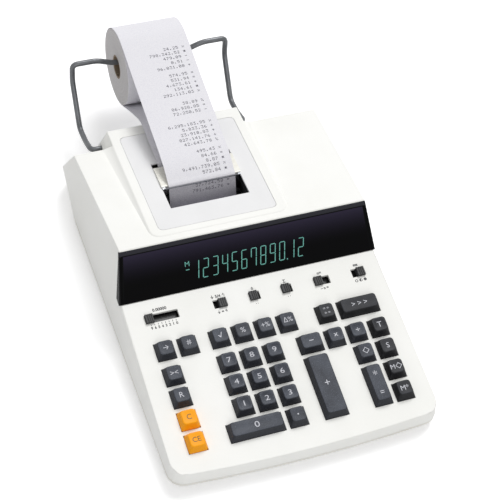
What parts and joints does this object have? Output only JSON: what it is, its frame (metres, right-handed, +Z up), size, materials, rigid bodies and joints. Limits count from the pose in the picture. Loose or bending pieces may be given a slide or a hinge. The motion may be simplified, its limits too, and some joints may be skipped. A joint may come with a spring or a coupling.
{
  "type": "printing calculator",
  "caption": "Desktop printing calculator: wedge case with sloping keyboard, slide switches, black display window, and a printer fed from a paper roll on two wire arms.",
  "frame": {"origin": "centre of the footprint of the whole machine with its roll and tape, on the surface it stands on", "axes": "+X to the right of a person at the keyboard, +Y to the back, +Z up"},
  "size_m": [0.225, 0.409, 0.0955],
  "materials": {
    "case_ivory": "fine grain",
    "base_ivory": "fine grain",
    "cover_ivory": "fine grain",
    "tear_plate": "smooth",
    "window_black": "polished",
    "tube_glass": "clear",
    "key_charcoal": "satin",
    "key_amber": "satin",
    "knob_black": "satin",
    "guide_grey": "smooth",
    "mat_rubber": "smooth",
    "board_green": "lacquered",
    "platen_rubber": "ground",
    "drum_metal": "turned",
    "ink_felt": "soaked",
    "frame_steel": "plated",
    "motor_steel": "plated",
    "transformer_iron": "lacquered",
    "inlet_rubber": "smooth",
    "paper_white": "uncoated",
    "wire_grey": "satin"
  },
  "bodies": {
    "root": {"upper_case": "case_ivory", "lower_case": "base_ivory", "display_window": "window_black", "display_tube": "tube_glass", "main_board": "board_green", "key_guide_plate": "guide_grey", "contact_mat": "mat_rubber", "printer_frame": "frame_steel", "feed_motor": "motor_steel", "transformer": "transformer_iron", "cord_inlet": "inlet_rubber", "feed_strip": "paper_white", "printed_tape": "paper_white"},
    "printer_cover": {"printer_cover": "cover_ivory", "tear_bar": "tear_plate"},
    "platen": {"platen_roller": "platen_rubber"},
    "drum": {"type_drum": "drum_metal"},
    "ink": {"ink_roller": "ink_felt"},
    "arm_left": {"arm_left": "wire_grey"},
    "arm_right": {"arm_right": "wire_grey"},
    "roll": {"paper_roll": "paper_white"},
    "key_shift_right": {"key_shift_right": "key_charcoal"},
    "key_number_sign": {"key_number_sign": "key_charcoal"},
    "key_square_root": {"key_square_root": "key_charcoal"},
    "key_percent": {"key_percent": "key_charcoal"},
    "key_markup": {"key_markup": "key_charcoal"},
    "key_percent_change": {"key_percent_change": "key_charcoal"},
    "key_mode": {"key_mode": "key_charcoal"},
    "key_paper_feed": {"key_paper_feed": "key_charcoal"},
    "key_reverse": {"key_reverse": "key_charcoal"},
    "key_7": {"key_7": "key_charcoal"},
    "key_8": {"key_8": "key_charcoal"},
    "key_9": {"key_9": "key_charcoal"},
    "key_minus": {"key_minus": "key_charcoal"},
    "key_multiply": {"key_multiply": "key_charcoal"},
    "key_divide": {"key_divide": "key_charcoal"},
    "key_total": {"key_total": "key_charcoal"},
    "key_recall": {"key_recall": "key_charcoal"},
    "key_4": {"key_4": "key_charcoal"},
    "key_5": {"key_5": "key_charcoal"},
    "key_6": {"key_6": "key_charcoal"},
    "key_subtotal": {"key_subtotal": "key_charcoal"},
    "key_store": {"key_store": "key_charcoal"},
    "key_clear": {"key_clear": "key_amber"},
    "key_1": {"key_1": "key_charcoal"},
    "key_2": {"key_2": "key_charcoal"},
    "key_3": {"key_3": "key_charcoal"},
    "key_memory_subtotal": {"key_memory_subtotal": "key_charcoal"},
    "key_clear_entry": {"key_clear_entry": "key_amber"},
    "key_0": {"key_0": "key_charcoal"},
    "key_point": {"key_point": "key_charcoal"},
    "key_memory_total": {"key_memory_total": "key_charcoal"},
    "key_plus": {"key_plus": "key_charcoal"},
    "key_equals": {"key_equals": "key_charcoal"},
    "decimal_knob": {"decimal_knob": "knob_black"},
    "rounding_knob": {"rounding_knob": "knob_black"},
    "add_mode_knob": {"add_mode_knob": "knob_black"},
    "rate_knob": {"rate_knob": "knob_black"},
    "item_count_knob": {"item_count_knob": "knob_black"},
    "print_knob": {"print_knob": "knob_black"}
  },
  "joints": [
    {"name": "key_shift_right_press", "type": "slide", "parent": "root", "child": "key_shift_right", "axis": [0, 0.1201, -0.9928], "range_m": [0, 0.0025], "stiffness_N_per_m": 150, "springref_m": -0.002, "deforming": ["contact_mat"]},
    {"name": "key_number_sign_press", "type": "slide", "parent": "root", "child": "key_number_sign", "axis": [0, 0.1201, -0.9928], "range_m": [0, 0.0025], "stiffness_N_per_m": 150, "springref_m": -0.002, "deforming": ["contact_mat"]},
    {"name": "key_square_root_press", "type": "slide", "parent": "root", "child": "key_square_root", "axis": [0, 0.1201, -0.9928], "range_m": [0, 0.0025], "stiffness_N_per_m": 150, "springref_m": -0.002, "deforming": ["contact_mat"]},
    {"name": "key_percent_press", "type": "slide", "parent": "root", "child": "key_percent", "axis": [0, 0.1201, -0.9928], "range_m": [0, 0.0025], "stiffness_N_per_m": 150, "springref_m": -0.002, "deforming": ["contact_mat"]},
    {"name": "key_markup_press", "type": "slide", "parent": "root", "child": "key_markup", "axis": [0, 0.1201, -0.9928], "range_m": [0, 0.0025], "stiffness_N_per_m": 150, "springref_m": -0.002, "deforming": ["contact_mat"]},
    {"name": "key_percent_change_press", "type": "slide", "parent": "root", "child": "key_percent_change", "axis": [0, 0.1201, -0.9928], "range_m": [0, 0.0025], "stiffness_N_per_m": 150, "springref_m": -0.002, "deforming": ["contact_mat"]},
    {"name": "key_mode_press", "type": "slide", "parent": "root", "child": "key_mode", "axis": [0, 0.1201, -0.9928], "range_m": [0, 0.0025], "stiffness_N_per_m": 150, "springref_m": -0.002, "deforming": ["contact_mat"]},
    {"name": "key_paper_feed_press", "type": "slide", "parent": "root", "child": "key_paper_feed", "axis": [0, 0.1201, -0.9928], "range_m": [0, 0.0025], "stiffness_N_per_m": 150, "springref_m": -0.002, "deforming": ["contact_mat"]},
    {"name": "key_reverse_press", "type": "slide", "parent": "root", "child": "key_reverse", "axis": [0, 0.1201, -0.9928], "range_m": [0, 0.0025], "stiffness_N_per_m": 150, "springref_m": -0.002, "deforming": ["contact_mat"]},
    {"name": "key_7_press", "type": "slide", "parent": "root", "child": "key_7", "axis": [0, 0.1201, -0.9928], "range_m": [0, 0.0025], "stiffness_N_per_m": 150, "springref_m": -0.002, "deforming": ["contact_mat"]},
    {"name": "key_8_press", "type": "slide", "parent": "root", "child": "key_8", "axis": [0, 0.1201, -0.9928], "range_m": [0, 0.0025], "stiffness_N_per_m": 150, "springref_m": -0.002, "deforming": ["contact_mat"]},
    {"name": "key_9_press", "type": "slide", "parent": "root", "child": "key_9", "axis": [0, 0.1201, -0.9928], "range_m": [0, 0.0025], "stiffness_N_per_m": 150, "springref_m": -0.002, "deforming": ["contact_mat"]},
    {"name": "key_minus_press", "type": "slide", "parent": "root", "child": "key_minus", "axis": [0, 0.1201, -0.9928], "range_m": [0, 0.0025], "stiffness_N_per_m": 150, "springref_m": -0.002, "deforming": ["contact_mat"]},
    {"name": "key_multiply_press", "type": "slide", "parent": "root", "child": "key_multiply", "axis": [0, 0.1201, -0.9928], "range_m": [0, 0.0025], "stiffness_N_per_m": 150, "springref_m": -0.002, "deforming": ["contact_mat"]},
    {"name": "key_divide_press", "type": "slide", "parent": "root", "child": "key_divide", "axis": [0, 0.1201, -0.9928], "range_m": [0, 0.0025], "stiffness_N_per_m": 150, "springref_m": -0.002, "deforming": ["contact_mat"]},
    {"name": "key_total_press", "type": "slide", "parent": "root", "child": "key_total", "axis": [0, 0.1201, -0.9928], "range_m": [0, 0.0025], "stiffness_N_per_m": 150, "springref_m": -0.002, "deforming": ["contact_mat"]},
    {"name": "key_recall_press", "type": "slide", "parent": "root", "child": "key_recall", "axis": [0, 0.1201, -0.9928], "range_m": [0, 0.0025], "stiffness_N_per_m": 150, "springref_m": -0.002, "deforming": ["contact_mat"]},
    {"name": "key_4_press", "type": "slide", "parent": "root", "child": "key_4", "axis": [0, 0.1201, -0.9928], "range_m": [0, 0.0025], "stiffness_N_per_m": 150, "springref_m": -0.002, "deforming": ["contact_mat"]},
    {"name": "key_5_press", "type": "slide", "parent": "root", "child": "key_5", "axis": [0, 0.1201, -0.9928], "range_m": [0, 0.0025], "stiffness_N_per_m": 150, "springref_m": -0.002, "deforming": ["contact_mat"]},
    {"name": "key_6_press", "type": "slide", "parent": "root", "child": "key_6", "axis": [0, 0.1201, -0.9928], "range_m": [0, 0.0025], "stiffness_N_per_m": 150, "springref_m": -0.002, "deforming": ["contact_mat"]},
    {"name": "key_subtotal_press", "type": "slide", "parent": "root", "child": "key_subtotal", "axis": [0, 0.1201, -0.9928], "range_m": [0, 0.0025], "stiffness_N_per_m": 150, "springref_m": -0.002, "deforming": ["contact_mat"]},
    {"name": "key_store_press", "type": "slide", "parent": "root", "child": "key_store", "axis": [0, 0.1201, -0.9928], "range_m": [0, 0.0025], "stiffness_N_per_m": 150, "springref_m": -0.002, "deforming": ["contact_mat"]},
    {"name": "key_clear_press", "type": "slide", "parent": "root", "child": "key_clear", "axis": [0, 0.1201, -0.9928], "range_m": [0, 0.0025], "stiffness_N_per_m": 150, "springref_m": -0.002, "deforming": ["contact_mat"]},
    {"name": "key_1_press", "type": "slide", "parent": "root", "child": "key_1", "axis": [0, 0.1201, -0.9928], "range_m": [0, 0.0025], "stiffness_N_per_m": 150, "springref_m": -0.002, "deforming": ["contact_mat"]},
    {"name": "key_2_press", "type": "slide", "parent": "root", "child": "key_2", "axis": [0, 0.1201, -0.9928], "range_m": [0, 0.0025], "stiffness_N_per_m": 150, "springref_m": -0.002, "deforming": ["contact_mat"]},
    {"name": "key_3_press", "type": "slide", "parent": "root", "child": "key_3", "axis": [0, 0.1201, -0.9928], "range_m": [0, 0.0025], "stiffness_N_per_m": 150, "springref_m": -0.002, "deforming": ["contact_mat"]},
    {"name": "key_memory_subtotal_press", "type": "slide", "parent": "root", "child": "key_memory_subtotal", "axis": [0, 0.1201, -0.9928], "range_m": [0, 0.0025], "stiffness_N_per_m": 150, "springref_m": -0.002, "deforming": ["contact_mat"]},
    {"name": "key_clear_entry_press", "type": "slide", "parent": "root", "child": "key_clear_entry", "axis": [0, 0.1201, -0.9928], "range_m": [0, 0.0025], "stiffness_N_per_m": 150, "springref_m": -0.002, "deforming": ["contact_mat"]},
    {"name": "key_0_press", "type": "slide", "parent": "root", "child": "key_0", "axis": [0, 0.1201, -0.9928], "range_m": [0, 0.0025], "stiffness_N_per_m": 150, "springref_m": -0.002, "deforming": ["contact_mat"]},
    {"name": "key_point_press", "type": "slide", "parent": "root", "child": "key_point", "axis": [0, 0.1201, -0.9928], "range_m": [0, 0.0025], "stiffness_N_per_m": 150, "springref_m": -0.002, "deforming": ["contact_mat"]},
    {"name": "key_memory_total_press", "type": "slide", "parent": "root", "child": "key_memory_total", "axis": [0, 0.1201, -0.9928], "range_m": [0, 0.0025], "stiffness_N_per_m": 150, "springref_m": -0.002, "deforming": ["contact_mat"]},
    {"name": "key_plus_press", "type": "slide", "parent": "root", "child": "key_plus", "axis": [0, 0.1201, -0.9928], "range_m": [0, 0.0025], "stiffness_N_per_m": 150, "springref_m": -0.002, "deforming": ["contact_mat"]},
    {"name": "key_equals_press", "type": "slide", "parent": "root", "child": "key_equals", "axis": [0, 0.1201, -0.9928], "range_m": [0, 0.0025], "stiffness_N_per_m": 150, "springref_m": -0.002, "deforming": ["contact_mat"]},
    {"name": "decimal_slide", "type": "slide", "parent": "root", "child": "decimal_knob", "axis": [1, 0, 0], "range_m": [0, 0.0207]},
    {"name": "rounding_slide", "type": "slide", "parent": "root", "child": "rounding_knob", "axis": [1, 0, 0], "range_m": [-0.0039, 0]},
    {"name": "add_mode_slide", "type": "slide", "parent": "root", "child": "add_mode_knob", "axis": [1, 0, 0], "range_m": [0, 0.0019]},
    {"name": "rate_slide", "type": "slide", "parent": "root", "child": "rate_knob", "axis": [1, 0, 0], "range_m": [0, 0.0019]},
    {"name": "item_count_slide", "type": "slide", "parent": "root", "child": "item_count_knob", "axis": [1, 0, 0], "range_m": [0, 0.0065]},
    {"name": "print_slide", "type": "slide", "parent": "root", "child": "print_knob", "axis": [1, 0, 0], "range_m": [-0.004, 0]},
    {"name": "cover_lift", "type": "slide", "parent": "root", "child": "printer_cover", "axis": [0, 0.108, 0.9942], "range_m": [0, 0.012], "deforming": ["feed_strip", "printed_tape"]},
    {"name": "arm_left_swing", "type": "hinge", "parent": "root", "child": "arm_left", "pos_m": [-0.0175, 0.1055, 0.0365], "axis": [1, 0, 0], "range_deg": [0, 45], "deforming": ["feed_strip", "printed_tape"]},
    {"name": "arm_right_swing", "type": "hinge", "parent": "root", "child": "arm_right", "pos_m": [-0.0175, 0.1055, 0.0365], "axis": [1, 0, 0], "range_deg": [0, 45], "deforming": ["feed_strip", "printed_tape"]},
    {"name": "roll_turn", "type": "hinge", "parent": "arm_left", "child": "roll", "pos_m": [-0.0175, 0.16832, 0.0618], "axis": [1, 0, 0], "continuous": true},
    {"name": "platen_turn", "type": "hinge", "parent": "root", "child": "platen", "pos_m": [-0.0175, 0.02648, 0.05002], "axis": [1, 0, 0], "continuous": true},
    {"name": "drum_turn", "type": "hinge", "parent": "root", "child": "drum", "pos_m": [-0.0175, 0.00818, 0.05002], "axis": [1, 0, 0], "continuous": true},
    {"name": "ink_turn", "type": "hinge", "parent": "root", "child": "ink", "pos_m": [-0.0175, -0.00264, 0.06084], "axis": [1, 0, 0], "continuous": true}
  ],
  "couplings": [
    {"joint": "arm_right_swing", "follows": "arm_left_swing", "ratio": 1},
    {"joint": "platen_turn", "follows": "roll_turn", "ratio": 4.125},
    {"joint": "ink_turn", "follows": "drum_turn", "ratio": -1.5}
  ]
}
